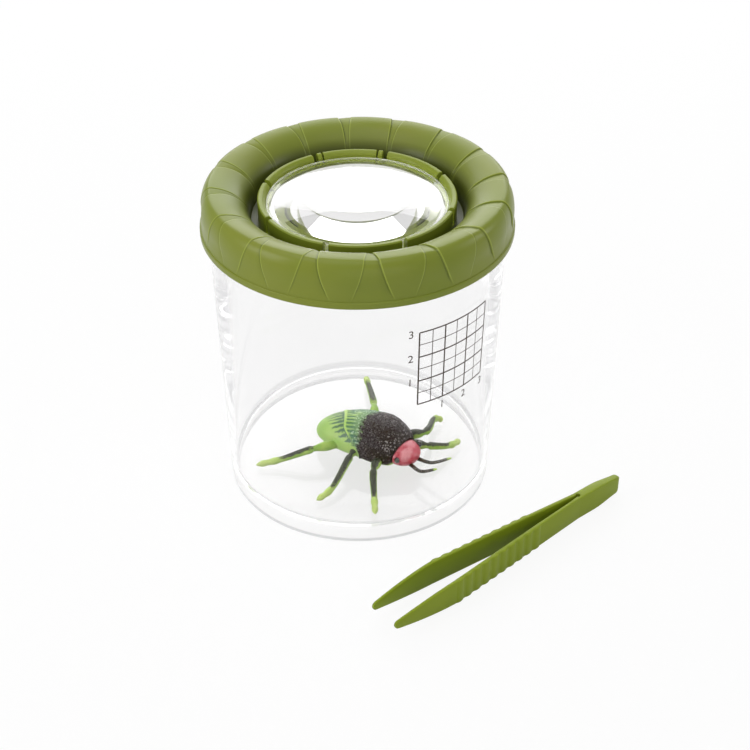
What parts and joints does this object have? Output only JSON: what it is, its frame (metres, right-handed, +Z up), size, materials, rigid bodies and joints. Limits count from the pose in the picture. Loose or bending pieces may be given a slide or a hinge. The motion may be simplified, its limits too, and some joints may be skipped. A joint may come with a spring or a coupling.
{
  "type": "bug viewer jar set",
  "caption": "Clear jar with a push-on green lid that holds a magnifier lens, with a toy beetle inside and springy tweezers beside it.",
  "frame": {"origin": "middle of the whole set's footprint, on the surface that the jar and the tweezers stand on", "axes": "+Z up along the jar's axis, +Y away from the viewer of the picture, +X to the right"},
  "size_m": [0.1522, 0.153, 0.1204],
  "materials": {
    "clear_plastic": "clear polished",
    "lens_plastic": "clear polished",
    "green_plastic": "satin",
    "tweezers_plastic": "satin",
    "wing_paint": "painted satin",
    "thorax_paint": "painted satin",
    "head_paint": "painted satin",
    "leg_paint": "painted satin",
    "feeler_paint": "painted satin"
  },
  "bodies": {
    "jar": {"jar_body": "clear_plastic"},
    "lid": {"lid_ring": "green_plastic", "lens_collar": "green_plastic", "magnifier_lens": "lens_plastic"},
    "beetle": {"beetle_wing_cases": "wing_paint", "beetle_thorax": "thorax_paint", "beetle_head": "head_paint", "beetle_leg_rear_right": "leg_paint", "beetle_leg_mid_right": "leg_paint", "beetle_leg_front_right": "leg_paint", "beetle_leg_rear_left": "leg_paint", "beetle_leg_mid_left": "leg_paint", "beetle_leg_front_left": "leg_paint", "beetle_feeler_right": "feeler_paint", "beetle_feeler_left": "feeler_paint"},
    "tweezers": {"tweezers_heel": "tweezers_plastic"},
    "near_arm": {"tweezers_near_arm": "tweezers_plastic"},
    "far_arm": {"tweezers_far_arm": "tweezers_plastic"}
  },
  "joints": [
    {"name": "lid_pull", "type": "slide", "parent": "jar", "child": "lid", "axis": [0, 0, 1], "range_m": [0, 0.06]},
    {"name": "beetle_lift", "type": "slide", "parent": "jar", "child": "beetle", "axis": [0, 0, 1], "range_m": [0, 0.06]},
    {"name": "tweezers_lift", "type": "slide", "parent": "jar", "child": "tweezers", "axis": [0, 0, 1], "range_m": [0, 0.05]},
    {"name": "near_arm_squeeze", "type": "hinge", "parent": "tweezers", "child": "near_arm", "pos_m": [0.05887, -0.01538, 0], "axis": [0, 0, -1], "range_deg": [0, 3.1], "stiffness_Nm_per_rad": 0.12},
    {"name": "far_arm_squeeze", "type": "hinge", "parent": "tweezers", "child": "far_arm", "pos_m": [0.0574, -0.01354, 0], "axis": [0, 0, 1], "range_deg": [0, 3.1], "stiffness_Nm_per_rad": 0.12}
  ],
  "couplings": [
    {"joint": "far_arm_squeeze", "follows": "near_arm_squeeze", "ratio": 1}
  ]
}
